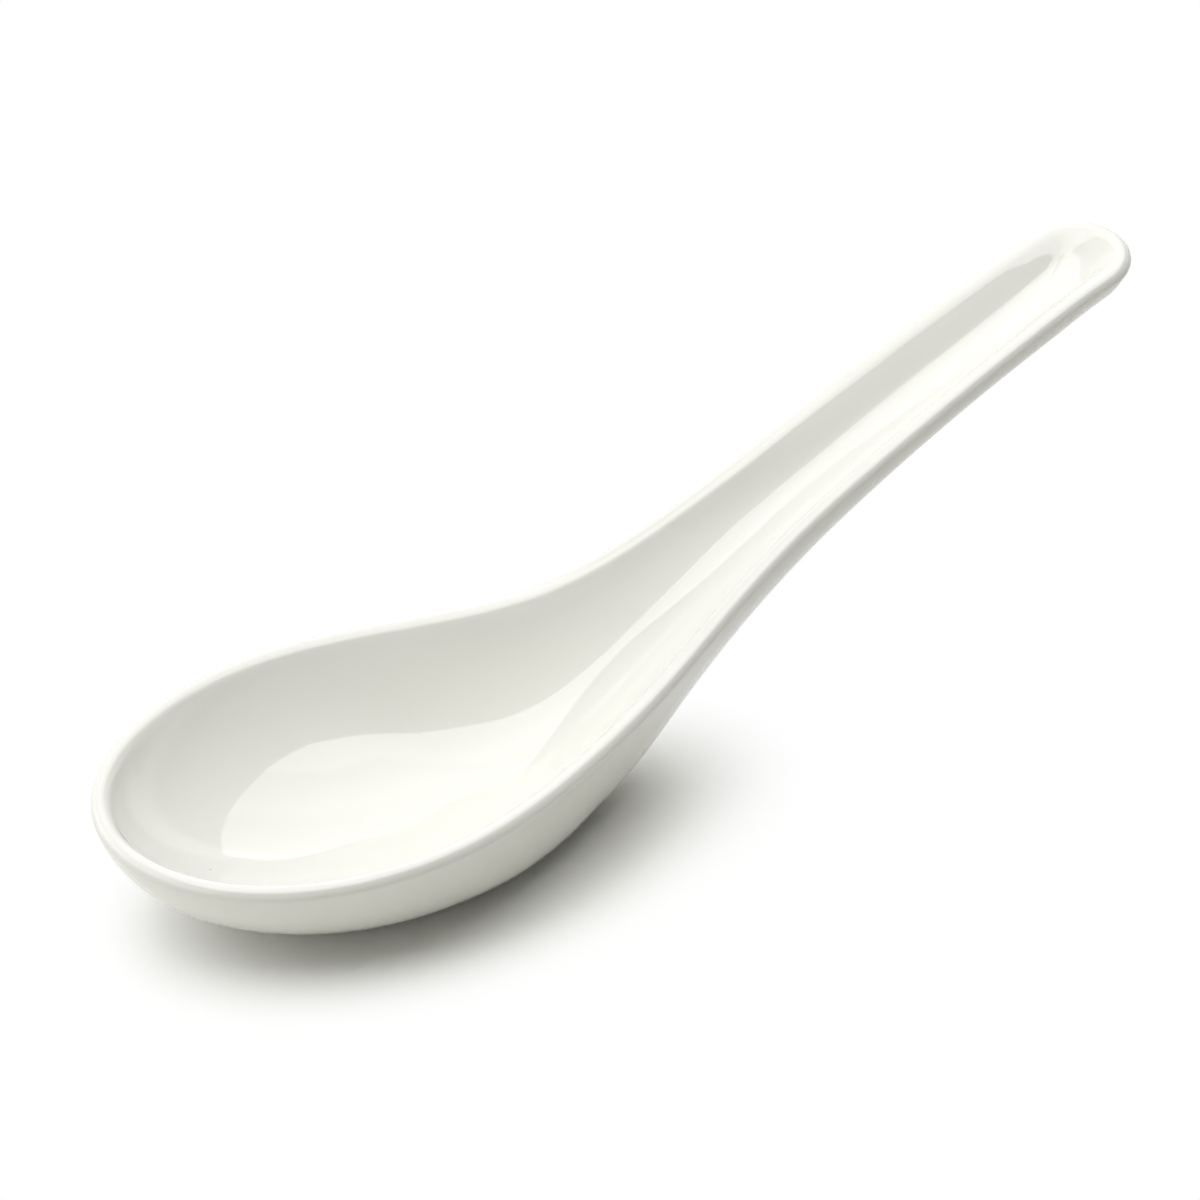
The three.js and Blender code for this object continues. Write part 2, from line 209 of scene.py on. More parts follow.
# Where a rib stands: how far along the middle of the underside and of the inside, and its place on the edge
# of the foot or keel
def ribFeet(part, turn, rimX):
    skin = spoonSkin
    endAt = skin["length"] - skin["endRound"]
    halfFoot = skin["footWidth"] / 2
    halfKeel = skin["keelWidth"] / 2
    if part == "front":
        reach = (skin["footMiddleAt"] - skin["footFrontAt"]) * math.cos(turn)
        middleX = skin["footMiddleAt"] - skin["underFanShare"] * reach
        insideX = skin["footMiddleAt"] - skin["insideFanShare"] * reach
        return middleX, insideX, skin["footMiddleAt"] - reach, halfFoot * math.sin(turn)
    if part == "end":
        share = (rimX - endAt) / skin["endRound"]
        middleX = mix(endAt, keelStations[-1][0] - halfKeel, share)
        insideX = mix(endAt - skin["troughLag"], troughStations[-1][0], share)
        return middleX, insideX, middleX + halfKeel * math.sin(turn), halfKeel * math.cos(turn)
    leadLeft = 1 - easeBetween(rimX, skin["widestAt"], skin["footBackAt"])
    middleX = rimX + (skin["footMiddleAt"] - skin["widestAt"]) * leadLeft
    insideX = middleX - skin["troughLag"] * easeBetween(rimX, skin["neckAt"], endAt)
    edgeY = mix(halfFoot, halfKeel, easeBetween(middleX, *skin["footNarrows"]))
    return middleX, insideX, middleX, edgeY


# One rib of the skin: its place on the rim and all that the loft needs to know there
def ribAt(part, t, place, along):
    skin = spoonSkin
    turn = t * quarterTurn
    outward = Vector((-along.y, along.x, 0)).normalized()
    middleX, insideX, edgeX, edgeY = ribFeet(part, turn, place.x)
    toTip = math.cos(turn) ** 2 if part == "front" else 0
    toElbow = easeBetween(place.x, skin["bowlShapeEndsAt"], skin["elbowShapeAt"])
    toEnd = easeBetween(place.x, skin["length"] - skin["endShapeLength"], skin["length"])
    handleAt = skin["handleShapeStartsAt"]
    lipMiddle = Vector((place.x, place.y, rimHeight(place.x)))
    rollBack = (outward + up) * (skin["lipRoll"] - skin["lipReach"])

    def blend(values):
        shape = mix(values["bowl"], values["tip"], toTip)
        if "elbow" in values:
            shape = mix(shape, values["elbow"], toElbow)
            toHandle = easeBetween(place.x, skin["elbowShapeAt"], handleAt["inside"])
        else:
            toHandle = easeBetween(place.x, skin["bowlShapeEndsAt"], handleAt["outside"])
        return mix(mix(shape, values["handle"], toHandle), values["end"], toEnd)

    padFade = 1 - easeBetween(middleX, skin["footBackAt"] - skin["footRamp"], skin["footBackAt"])
    return {
        "rim": lipMiddle - rollBack,
        "outward": outward,
        "middle": Vector((middleX, 0, keelHeight(middleX))),
        "edge": Vector((edgeX, edgeY, keelHeight(edgeX))),
        "inside": Vector((insideX, 0, troughHeight(insideX))),
        "outsideSlope": slopeOf(keelHeight, edgeX),
        "insideSlope": slopeOf(troughHeight, insideX),
        "outsideAngle": math.radians(blend(skin["outsideAngle"])),
        "insideAngle": math.radians(blend(skin["insideAngle"])),
        "outsideBottom": blend(skin["outsideBottom"]),
        "outsideLip": blend(skin["outsideLip"]),
        "insideBottom": blend(skin["insideBottom"]),
        "insideLip": blend(skin["insideLip"]),
        "insideLipRadius": blend(skin["insideLipRadius"]) * mm,
        "padFade": padFade if part in ("front", "flare") else 0,
    }


# Ribs all the way round: one side from the tip to the handle's end, and its mirror image back again
def ribsAllRound():
    side = []
    spans = rimSpans()
    for part, curve, start, end, count in spans:
        for k in range(count):
            t = mix(start, end, k / count)
            side.append(ribAt(part, t, *curve(t)))
    lastPart, lastCurve = spans[-1][:2]
    side.append(ribAt(lastPart, 1, *lastCurve(1)))
    sideways = ("rim", "outward", "edge")
    for rib in (side[0], side[-1]):  # the two end ribs lie exactly in the plane of symmetry
        for name in sideways:
            rib[name].y = 0
    mirrored = []
    for rib in side[-2:0:-1]:
        twin = dict(rib)
        for name in sideways:
            twin[name] = Vector((rib[name].x, -rib[name].y, rib[name].z))
        mirrored.append(twin)
    return side + mirrored


# The rails: one point per rib on the rim, which carries the rib's values as attributes
def railObject(name):
    ribs = ribsAllRound()
    places = ("rim", "middle", "edge", "inside")
    origin = Vector((spoonSkin["footMiddleAt"], 0, 0))
    mesh = bpy.data.meshes.new(name)
    mesh.from_pydata([(rib["rim"] - origin) * mm for rib in ribs], [], [])
    for key, example in ribs[0].items():
        isVector = isinstance(example, Vector)
        layer = mesh.attributes.new(key, "FLOAT_VECTOR" if isVector else "FLOAT", "POINT")
        for point, rib in zip(layer.data, ribs):
            if key in places:
                point.vector = (rib[key] - origin) * mm
            elif isVector:
                point.vector = rib[key]
            else:
                point.value = rib[key]
    rails = bpy.data.objects.new(name, mesh)
    bpy.context.scene.collection.objects.link(rails)
    return rails


# Short ways to add nodes; most give back the socket that carries the result
def feed(tree, socket, value):
    if isinstance(value, bpy.types.NodeSocket):
        tree.links.new(value, socket)
    elif value is not None:
        socket.default_value = value


def addNode(tree, kind, settings=None, **inputs):
    node = tree.nodes.new(kind)
    for name, value in (settings or {}).items():
        setattr(node, name, value)
    for name, value in inputs.items():
        feed(tree, node.inputs[name.replace("_", " ")], value)
    return node


def doMath(tree, operation, a, b=None):
    node = addNode(tree, "ShaderNodeMath", {"operation": operation})
    feed(tree, node.inputs[0], a)
    feed(tree, node.inputs[1], b)
    return node.outputs[0]


def doVector(tree, operation, a, b=None):
    node = addNode(tree, "ShaderNodeVectorMath", {"operation": operation})
    feed(tree, node.inputs[0], a)
    feed(tree, node.inputs["Scale" if operation == "SCALE" else 1], b)
    return node.outputs["Value" if operation == "DISTANCE" else "Vector"]


def upright(tree, height):
    return addNode(tree, "ShaderNodeCombineXYZ", Z=height).outputs[0]


# Where the Mix node has its two values and its result, for each kind of value
mixSockets = {"FLOAT": (2, 3, 0), "VECTOR": (4, 5, 1), "RGBA": (6, 7, 2)}


def mixNode(tree, kind, share, a, b):
    first, second, result = mixSockets[kind]
    node = addNode(tree, "ShaderNodeMix", {"data_type": kind, "clamp_factor": kind == "RGBA"})
    feed(tree, node.inputs[0], share)
    feed(tree, node.inputs[first], a)
    feed(tree, node.inputs[second], b)
    return node.outputs[result]


def pickVector(tree, isSecond, first, second):
    node = addNode(tree, "GeometryNodeSwitch", {"input_type": "VECTOR"}, Switch=isSecond)
    feed(tree, node.inputs["False"], first)
    feed(tree, node.inputs["True"], second)
    return node.outputs[0]


def readAttribute(tree, name, kind="FLOAT"):
    return addNode(tree, "GeometryNodeInputNamedAttribute", {"data_type": kind}, Name=name).outputs[0]


def storeOnPoints(tree, geometry, name, value, kind="FLOAT"):
    return addNode(tree, "GeometryNodeStoreNamedAttribute", {"data_type": kind, "domain": "POINT"},
                   Geometry=geometry, Name=name, Value=value).outputs[0]


def newTree(name, inputs, outputs, kind="GeometryNodeTree"):
    tree = bpy.data.node_groups.new(name, kind)
    for socketName, socketType in inputs.items():
        tree.interface.new_socket(socketName, in_out="INPUT", socket_type=socketType)
    for socketName, socketType in outputs.items():
        tree.interface.new_socket(socketName, in_out="OUTPUT", socket_type=socketType)
    return tree, tree.nodes.new("NodeGroupInput").outputs, tree.nodes.new("NodeGroupOutput").inputs


# A step of the given length along the outward direction, tipped up by the angle
def leaningStep(tree, outward, angle, length):
    level = doMath(tree, "MULTIPLY", length, doMath(tree, "COSINE", angle))
    rise = doMath(tree, "MULTIPLY", length, doMath(tree, "SINE", angle))
    return doVector(tree, "ADD", doVector(tree, "SCALE", outward, level), upright(tree, rise))


# One wall of a rib: a curve that leaves the bottom along its slope and meets the lip at its angle
def makeWallTree():
    inputs = {name: "NodeSocketVector" for name in ("Bottom", "Top", "Outward")}
    for name in ("Slope", "Angle", "Bottom Fullness", "Lip Fullness", "Share"):
        inputs[name] = "NodeSocketFloat"
    tree, given, result = newTree("wallCurve", inputs, {"Point": "NodeSocketVector"})
    bottom = given["Bottom"]
    top = given["Top"]
    levelRun = doVector(tree, "MULTIPLY", doVector(tree, "SUBTRACT", top, bottom), (1, 1, 0))
    runX = addNode(tree, "ShaderNodeSeparateXYZ", Vector=levelRun).outputs["X"]
    climb = upright(tree, doMath(tree, "MULTIPLY", runX, given["Slope"]))
    slopedRun = doVector(tree, "ADD", levelRun, climb)
    bottomStep = doVector(tree, "SCALE", slopedRun, given["Bottom Fullness"])
    stepLength = doMath(tree, "MULTIPLY", given["Lip Fullness"], doVector(tree, "DISTANCE", top, bottom))
    lipStep = leaningStep(tree, given["Outward"], given["Angle"], stepLength)
    overBottom = doVector(tree, "ADD", bottom, bottomStep)
    underLip = doVector(tree, "SUBTRACT", top, lipStep)
    points = [bottom, overBottom, underLip, top]
    while len(points) > 1:
        points = [mixNode(tree, "VECTOR", given["Share"], a, b) for a, b in zip(points, points[1:])]
    tree.links.new(points[0], result["Point"])
    return tree


mergeDistance = 2e-7  # metres, so only points that coincide
skinInputs = {
    "Rails": "NodeSocketGeometry",
    "Lip Radius": "NodeSocketFloat",
    "Glaze Thickness": "NodeSocketFloat",
    "Pad Inset": "NodeSocketFloat",
    "Pad Rings": "NodeSocketInt",
    "Outside Rings": "NodeSocketInt",
    "Lip Rings": "NodeSocketInt",
    "Inside Rings": "NodeSocketInt",
}


# How far a ring has come round the foot's shoulder: 0 at the first ring and 1 at the last one of the pad
def shoulderShare(tree, ring, padRings):
    ringsPassed = doMath(tree, "SUBTRACT", ring, 1.0)
    return doMath(tree, "DIVIDE", ringsPassed, doMath(tree, "SUBTRACT", padRings, 1.0))


# The closed skin, lofted over the ribs of the rails: across the foot or keel, up the outside, over the lip
# and down the inside to the middle again
def makeSkinTree(wallTree):
    tree, given, result = newTree("spoonSkin", skinInputs, {"Skin": "NodeSocketGeometry"})
    rails = given["Rails"]
    padRings = given["Pad Rings"]
    lipRings = given["Lip Rings"]
    lipRadius = given["Lip Radius"]
    halfStep = 0.5  # counts are whole numbers, so a test or a rounding is safe half-way between two
    ribCount = addNode(tree, "GeometryNodeAttributeDomainSize", Geometry=rails).outputs["Point Count"]
    outsideEnd = doMath(tree, "ADD", padRings, given["Outside Rings"])
    lipEndRing = doMath(tree, "ADD", outsideEnd, lipRings)
    lastRing = doMath(tree, "ADD", lipEndRing, given["Inside Rings"])
    ringCount = doMath(tree, "ADD", lastRing, 1.0)
    columnCount = doMath(tree, "ADD", ribCount, 1.0)
    grid = addNode(tree, "GeometryNodeMeshGrid", Vertices_X=columnCount, Vertices_Y=ringCount)
    index = addNode(tree, "GeometryNodeInputIndex").outputs[0]
    columnShare = doMath(tree, "DIVIDE", doMath(tree, "ADD", index, halfStep), ringCount)
    column = doMath(tree, "FLOOR", columnShare)
    ring = doMath(tree, "SUBTRACT", index, doMath(tree, "MULTIPLY", column, ringCount))
    rib = doMath(tree, "FLOORED_MODULO", column, ribCount)

    def fromRib(name, kind="FLOAT"):
        return addNode(tree, "GeometryNodeSampleIndex", {"data_type": kind}, Geometry=rails,
                       Value=readAttribute(tree, name, kind), Index=rib).outputs[0]

    rim = fromRib("rim", "FLOAT_VECTOR")
    outward = fromRib("outward", "FLOAT_VECTOR")
    middle = fromRib("middle", "FLOAT_VECTOR")
    edge = fromRib("edge", "FLOAT_VECTOR")
    inside = fromRib("inside", "FLOAT_VECTOR")
    outsideAngle = fromRib("outsideAngle")
    insideAngle = fromRib("insideAngle")
    insideRadius = fromRib("insideLipRadius")
    lipStart = doMath(tree, "SUBTRACT", outsideAngle, quarterTurn)
    lipEnd = doMath(tree, "ADD", insideAngle, quarterTurn)

    # both rolls of the lip share its top, so a larger one has its centre lower
    def onLip(angle, radius):
        centre = doVector(tree, "ADD", rim, upright(tree, doMath(tree, "SUBTRACT", lipRadius, radius)))
        return doVector(tree, "ADD", centre, leaningStep(tree, outward, angle, radius))

    def wall(bottom, top, angle, side, share):
        node = addNode(tree, "GeometryNodeGroup", {"node_tree": wallTree}, Bottom=bottom, Top=top,
                       Outward=outward, Angle=angle, Share=share, Slope=fromRib(side + "Slope"),
                       Bottom_Fullness=fromRib(side + "Bottom"), Lip_Fullness=fromRib(side + "Lip"))
        return node.outputs[0]

    def shareOfRings(start, count):
        return doMath(tree, "DIVIDE", doMath(tree, "SUBTRACT", ring, start), count)

    # across the foot: the middle, then a rounded shoulder that ends at the glaze
    inset = doMath(tree, "DIVIDE", given["Pad Inset"], doVector(tree, "DISTANCE", middle, edge))
    shoulderTurn = doMath(tree, "MULTIPLY", shoulderShare(tree, ring, padRings), quarterTurn)
    shortOfEdge = doMath(tree, "SUBTRACT", 1.0, doMath(tree, "SINE", shoulderTurn))
    towardsEdge = doMath(tree, "SUBTRACT", 1.0, doMath(tree, "MULTIPLY", inset, shortOfEdge))
    isPastMiddle = doMath(tree, "GREATER_THAN", ring, halfStep)
    point = mixNode(tree, "VECTOR", doMath(tree, "MULTIPLY", towardsEdge, isPastMiddle), middle, edge)

    upOutside = shareOfRings(padRings, given["Outside Rings"])
    overLip = shareOfRings(outsideEnd, lipRings)
    upInside = doMath(tree, "SUBTRACT", 1.0, shareOfRings(lipEndRing, given["Inside Rings"]))
    lipAngle = mixNode(tree, "FLOAT", overLip, lipStart, lipEnd)
    isPastTop = doMath(tree, "GREATER_THAN", lipAngle, quarterTurn)
    outsidePoint = wall(edge, onLip(lipStart, lipRadius), outsideAngle, "outside", upOutside)
    lipPoint = onLip(lipAngle, mixNode(tree, "FLOAT", isPastTop, lipRadius, insideRadius))
    insidePoint = wall(inside, onLip(lipEnd, insideRadius), insideAngle, "inside", upInside)
    for start, section in ((padRings, outsidePoint), (outsideEnd, lipPoint), (lipEndRing, insidePoint)):
        point = pickVector(tree, doMath(tree, "GREATER_THAN", ring, start), point, section)

    mesh = grid.outputs["Mesh"]
    skin = addNode(tree, "GeometryNodeSetPosition", Geometry=mesh, Position=point).outputs[0]
    lipMiddleRing = mixNode(tree, "FLOAT", 0.5, outsideEnd, lipEndRing)
    fromLip = doMath(tree, "ABSOLUTE", doMath(tree, "SUBTRACT", ring, lipMiddleRing))
    nearLip = doMath(tree, "SUBTRACT", 1.0, doMath(tree, "DIVIDE", fromLip, lipRings))
    skin = storeOnPoints(tree, skin, "ring", ring)
    skin = storeOnPoints(tree, skin, "padFade", fromRib("padFade"))
    skin = storeOnPoints(tree, skin, "lipNearness", doMath(tree, "MAXIMUM", nearLip, 0.0))
    skin = addNode(tree, "GeometryNodeMergeByDistance", Geometry=skin, Distance=mergeDistance).outputs[0]
    skin = addNode(tree, "GeometryNodeFlipFaces", Mesh=skin).outputs[0]
    normal = addNode(tree, "GeometryNodeInputNormal").outputs["Normal"]
    place = addNode(tree, "GeometryNodeInputPosition").outputs[0]
    depth = doVector(tree, "SCALE", normal, given["Glaze Thickness"])
    clayPoint = doVector(tree, "SUBTRACT", place, depth)
    skin = storeOnPoints(tree, skin, "clayPoint", clayPoint, "FLOAT_VECTOR")
    tree.links.new(skin, result["Skin"])
    return tree


def placeSkin(tree, skinTree, given):
    node = addNode(tree, "GeometryNodeGroup", {"node_tree": skinTree})
    for name in skinInputs:
        feed(tree, node.inputs[name], given[name])
    return node.outputs["Skin"]


# Smooth shading with crisp lines where the surface turns a corner, then real geometry with its material
def finishPiece(tree, geometry, material, result):
    angle = addNode(tree, "GeometryNodeInputMeshEdgeAngle").outputs["Unsigned Angle"]
    isSoft = doMath(tree, "LESS_THAN", angle, math.radians(spoonSkin["creaseAngle"]))
    smooth = addNode(tree, "GeometryNodeSetShadeSmooth", {"domain": "FACE"}, Geometry=geometry).outputs[0]
    smooth = addNode(tree, "GeometryNodeSetShadeSmooth", {"domain": "EDGE"}, Geometry=smooth,
                     Shade_Smooth=isSoft).outputs[0]
    real = addNode(tree, "GeometryNodeRealizeInstances", Geometry=smooth).outputs[0]
    finished = addNode(tree, "GeometryNodeSetMaterial", Geometry=real, Material=material).outputs[0]
    tree.links.new(finished, result)


# The glaze: the skin without the bare foot, its back on the clay, and a narrow edge round the foot
def makeGlazeTree(skinTree):
    inputs = {**skinInputs, "Material": "NodeSocketMaterial"}
    tree, given, result = newTree("glazeCoat", inputs, {"Coat": "NodeSocketGeometry"})
    skin = placeSkin(tree, skinTree, given)
    faceMargin = 0.25  # a face on the pad has its mean ring at least this far before the last pad ring
    padLimit = doMath(tree, "SUBTRACT", given["Pad Rings"], faceMargin)
    isOnPad = doMath(tree, "LESS_THAN", readAttribute(tree, "ring"), padLimit)
    isAtFoot = doMath(tree, "GREATER_THAN", readAttribute(tree, "padFade"), 0.0)
    isBare = doMath(tree, "MULTIPLY", isOnPad, isAtFoot)
    face = addNode(tree, "GeometryNodeDeleteGeometry", {"domain": "FACE"}, Geometry=skin,
                   Selection=isBare).outputs[0]
    drawn = addNode(tree, "GeometryNodeExtrudeMesh", Mesh=face, Offset_Scale=0.0, Individual=False).outputs
    clayPoint = readAttribute(tree, "clayPoint", "FLOAT_VECTOR")
    back = addNode(tree, "GeometryNodeSetPosition", Geometry=drawn["Mesh"], Selection=drawn["Top"],
                   Position=clayPoint).outputs[0]
    turned = addNode(tree, "GeometryNodeFlipFaces", Mesh=back).outputs[0]
    joined = addNode(tree, "GeometryNodeJoinGeometry")
    for part in (turned, face):
        tree.links.new(part, joined.inputs[0])
    closed = addNode(tree, "GeometryNodeMergeByDistance", Geometry=joined.outputs[0],
                     Distance=mergeDistance).outputs[0]
    finishPiece(tree, closed, given["Material"], result["Coat"])
    return tree


# The clay: the skin set back by the glaze, with the bare foot standing down to the table
def makeBodyTree(skinTree):
    inputs = {**skinInputs, "Pad Height": "NodeSocketFloat", "Material": "NodeSocketMaterial"}
    tree, given, result = newTree("porcelainBody", inputs, {"Body": "NodeSocketGeometry"})
    skin = placeSkin(tree, skinTree, given)
    ring = readAttribute(tree, "ring")
    pointMargin = 0.5  # the last pad ring belongs to the foot, the next one does not
    share = doMath(tree, "MAXIMUM", shoulderShare(tree, ring, given["Pad Rings"]), 0.0)
    drop = doMath(tree, "COSINE", doMath(tree, "MULTIPLY", share, quarterTurn))
    padZ = doMath(tree, "MULTIPLY", given["Pad Height"], doMath(tree, "SUBTRACT", 1.0, drop))
    padLimit = doMath(tree, "ADD", given["Pad Rings"], pointMargin)
    isOnPad = doMath(tree, "LESS_THAN", ring, padLimit)
    fade = doMath(tree, "MULTIPLY", readAttribute(tree, "padFade"), isOnPad)
    clay = readAttribute(tree, "clayPoint", "FLOAT_VECTOR")
    clayParts = addNode(tree, "ShaderNodeSeparateXYZ", Vector=clay).outputs
    height = mixNode(tree, "FLOAT", fade, clayParts["Z"], padZ)
    place = addNode(tree, "ShaderNodeCombineXYZ", X=clayParts["X"], Y=clayParts["Y"], Z=height).outputs[0]
    body = addNode(tree, "GeometryNodeSetPosition", Geometry=skin, Position=place).outputs[0]
    finishPiece(tree, body, given["Material"], result["Body"])
    return tree


# Runs a tree on the rails and gives the result as a plain mesh object at the origin
def growPiece(name, rails, tree, values):
    modifier = rails.modifiers.new(name, "NODES")
    modifier.node_group = tree
    for item in tree.interface.items_tree:
        if item.in_out == "INPUT" and item.name in values:
            modifier[item.identifier] = values[item.name]
    shown = rails.evaluated_get(bpy.context.evaluated_depsgraph_get())
    mesh = bpy.data.meshes.new_from_object(shown)
    mesh.name = name
    mesh.materials.clear()
    mesh.materials.append(values["Material"])
    rails.modifiers.remove(modifier)
    for spare in ("ring", "padFade", "clayPoint"):
        if spare in mesh.attributes:
            mesh.attributes.remove(mesh.attributes[spare])
    piece = bpy.data.objects.new(name, mesh)
    bpy.context.scene.collection.objects.link(piece)
    print(name, "grown:", len(mesh.vertices), "points,", len(mesh.polygons), "faces")
    return piece


# Fine dark specks from the kiln, as a mask over Object coordinates
def makeSpeckGroup():
    inputs = {"Vector": "NodeSocketVector"}
    for name in ("Scale", "Radius", "Share"):
        inputs[name] = "NodeSocketFloat"
    tree, given, result = newTree("kilnSpecks", inputs, {"Mask": "NodeSocketFloat"}, "ShaderNodeTree")
    cells = addNode(tree, "ShaderNodeTexVoronoi", Vector=given["Vector"], Scale=given["Scale"])
    inside = doMath(tree, "LESS_THAN", cells.outputs["Distance"], given["Radius"])
    pick = addNode(tree, "ShaderNodeSeparateColor", Color=cells.outputs["Color"]).outputs["Red"]
    kept = doMath(tree, "LESS_THAN", pick, given["Share"])
    tree.links.new(doMath(tree, "MULTIPLY", inside, kept), result["Mask"])
    return tree


# Slow cloudy change of tone, and the slight relief of a fired surface
def makeFiringGroup():
    inputs = {"Vector": "NodeSocketVector"}
    for name in ("Cloud Scale", "Cloud Detail", "Relief Scale", "Relief Detail"):
        inputs[name] = "NodeSocketFloat"
    outputs = {"Cloud": "NodeSocketFloat", "Relief": "NodeSocketFloat"}
    tree, given, result = newTree("firedSurface", inputs, outputs, "ShaderNodeTree")
    for name in outputs:
        noise = addNode(tree, "ShaderNodeTexNoise", Vector=given["Vector"], Scale=given[name + " Scale"],
                        Detail=given[name + " Detail"])
        tree.links.new(noise.outputs["Fac"], result[name])
    return tree


kilnSpecks = makeSpeckGroup()
firedSurface = makeFiringGroup()


def newMaterial(name):
    material = bpy.data.materials.new(name)
    material.use_nodes = True
    tree = material.node_tree
    shader = tree.nodes["Principled BSDF"]
    coordinates = addNode(tree, "ShaderNodeTexCoord").outputs["Object"]
    return material, tree, shader, coordinates


# Places both effects with a finish's own values, and gives back its clouds, relief and specks
def firedEffects(tree, coordinates, finish):
    fired = addNode(tree, "ShaderNodeGroup", {"node_tree": firedSurface}, Vector=coordinates,
                    Cloud_Scale=finish["cloudScale"], Cloud_Detail=finish["cloudDetail"],
                    Relief_Scale=finish["reliefScale"], Relief_Detail=finish["reliefDetail"])
    specks = addNode(tree, "ShaderNodeGroup", {"node_tree": kilnSpecks}, Vector=coordinates,
                     Scale=finish["speckScale"], Radius=finish["speckRadius"], Share=finish["speckShare"])
    return fired.outputs["Cloud"], fired.outputs["Relief"], specks.outputs["Mask"]


def setSurface(tree, shader, finish, roughShare, relief):
    smoothest = finish["roughness"] * (1 - finish["roughnessSpread"])
    roughest = finish["roughness"] * (1 + finish["roughnessSpread"])
    feed(tree, shader.inputs["Roughness"], mixNode(tree, "FLOAT", roughShare, smoothest, roughest))
    bump = addNode(tree, "ShaderNodeBump", Strength=finish["reliefStrength"], Distance=finish["reliefHeight"],
                   Height=relief)
    feed(tree, shader.inputs["Normal"], bump.outputs[0])


glazeCoat = {
    "thickness": 0.25,  # millimetres
    "color": (0.81, 0.81, 0.755, 1),
    "cloudColor": (0.78, 0.775, 0.72, 1),  # faint clouds, which leave the lip clear
    "cloudShare": 0.35,
    "cloudScale": 38.0,
    "cloudDetail": 3.0,
    "speckColor": (0.22, 0.2, 0.17, 1),
    "speckScale": 95.0,
    "speckRadius": 0.012,
    "speckShare": 0.16,
    "reliefScale": 70.0,
    "reliefDetail": 1.0,
    "reliefStrength": 1.0,
    "reliefHeight": 0.00002,  # metres
    "roughness": 0.035,
    "roughnessSpread": 0.3,
    "refraction": 1.52,
}


def glazeMaterial():
    material, tree, shader, coordinates = newMaterial("whiteGlaze")
    cloud, relief, speck = firedEffects(tree, coordinates, glazeCoat)
    lip = addNode(tree, "ShaderNodeAttribute", {"attribute_name": "lipNearness"}).outputs["Fac"]
    awayFromLip = doMath(tree, "SUBTRACT", 1.0, lip)
    faintCloud = doMath(tree, "MULTIPLY", cloud, glazeCoat["cloudShare"])
    clouded = doMath(tree, "MULTIPLY", faintCloud, awayFromLip)
    color = mixNode(tree, "RGBA", clouded, glazeCoat["color"], glazeCoat["cloudColor"])
    color = mixNode(tree, "RGBA", speck, color, glazeCoat["speckColor"])
    feed(tree, shader.inputs["Base Color"], color)
    setSurface(tree, shader, glazeCoat, cloud, relief)
    shader.inputs["IOR"].default_value = glazeCoat["refraction"]
    return material


porcelainBody = {
    "color": (0.76, 0.73, 0.655, 1),
    "stainColor": (0.6, 0.54, 0.44, 1),
    "cloudShare": 0.4,
    "cloudScale": 120.0,
    "cloudDetail": 3.0,
    "speckStrength": 0.6,
    "speckScale": 420.0,
    "speckRadius": 0.05,
    "speckShare": 0.2,
    "reliefScale": 3500.0,
    "reliefDetail": 4.0,
    "reliefStrength": 0.6,
    "reliefHeight": 0.00004,  # metres
    "roughness": 0.8,
    "roughnessSpread": 0.1,
}


def biscuitMaterial():
    material, tree, shader, coordinates = newMaterial("bareBiscuit")
    cloud, relief, speck = firedEffects(tree, coordinates, porcelainBody)
    clouded = doMath(tree, "MULTIPLY", cloud, porcelainBody["cloudShare"])
    specked = doMath(tree, "MULTIPLY", speck, porcelainBody["speckStrength"])
    color = mixNode(tree, "RGBA", clouded, porcelainBody["color"], porcelainBody["stainColor"])
    color = mixNode(tree, "RGBA", specked, color, porcelainBody["stainColor"])
    feed(tree, shader.inputs["Base Color"], color)
    setSurface(tree, shader, porcelainBody, relief, relief)
    return material


whiteGlaze = glazeMaterial()
bareBiscuit = biscuitMaterial()
print("materials made")

rails = railObject("spoonRails")
skinTree = makeSkinTree(makeWallTree())
ringCounts = spoonSkin["rings"]
skinSizes = {
    "Lip Radius": spoonSkin["lipRoll"] * mm,
    "Glaze Thickness": glazeCoat["thickness"] * mm,
    "Pad Inset": spoonSkin["footInset"] * mm,
    "Pad Rings": ringCounts["pad"],
    "Outside Rings": ringCounts["outside"],
    "Lip Rings": ringCounts["lip"],
    "Inside Rings": ringCounts["inside"],
}
padHeight = (spoonSkin["footStep"] + glazeCoat["thickness"]) * mm
coat = growPiece("glazeCoat", rails, makeGlazeTree(skinTree), {**skinSizes, "Material": whiteGlaze})
body = growPiece("porcelainBody", rails, makeBodyTree(skinTree),
                 {**skinSizes, "Pad Height": padHeight, "Material": bareBiscuit})
bpy.data.objects.remove(rails)

for piece, node, slot in ((coat, "glaze_coat", "glaze"), (body, "porcelain_body", "biscuit")):
    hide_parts(node)
    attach(piece, "root")
print("spoon made")

studio = {
    "floorColor": (0.86, 0.857, 0.81, 1),
    "seenFloorColor": (1.06, 1.06, 1.03, 1),
    "floorSize": 8.0,  # metres
    "shadowMiddle": (-0.003, -0.004, 0),  # metres
    "shadowReach": (0.045, 0.025, 1),  # half the length and width of the oval that holds the spoon's shadow
    "floorFade": (0.55, 1.1),  # shares of that oval over which the floor goes over into the white backdrop
    "worldColor": (1.0, 1.0, 1.0, 1),
    "horizonFade": (0.4, 0.48, 1.0, 0.2),  # from this height to that, from this strength to that
    "fillStrength": 0.05,
}


# One for the rays that make a surface visible, directly or as a reflection, and zero for those that light it
def raysThatSee(tree):
    rays = addNode(tree, "ShaderNodeLightPath").outputs
    seen = doMath(tree, "MAXIMUM", rays["Is Camera Ray"], rays["Is Glossy Ray"])
    return doMath(tree, "MAXIMUM", seen, rays["Is Transmission Ray"])


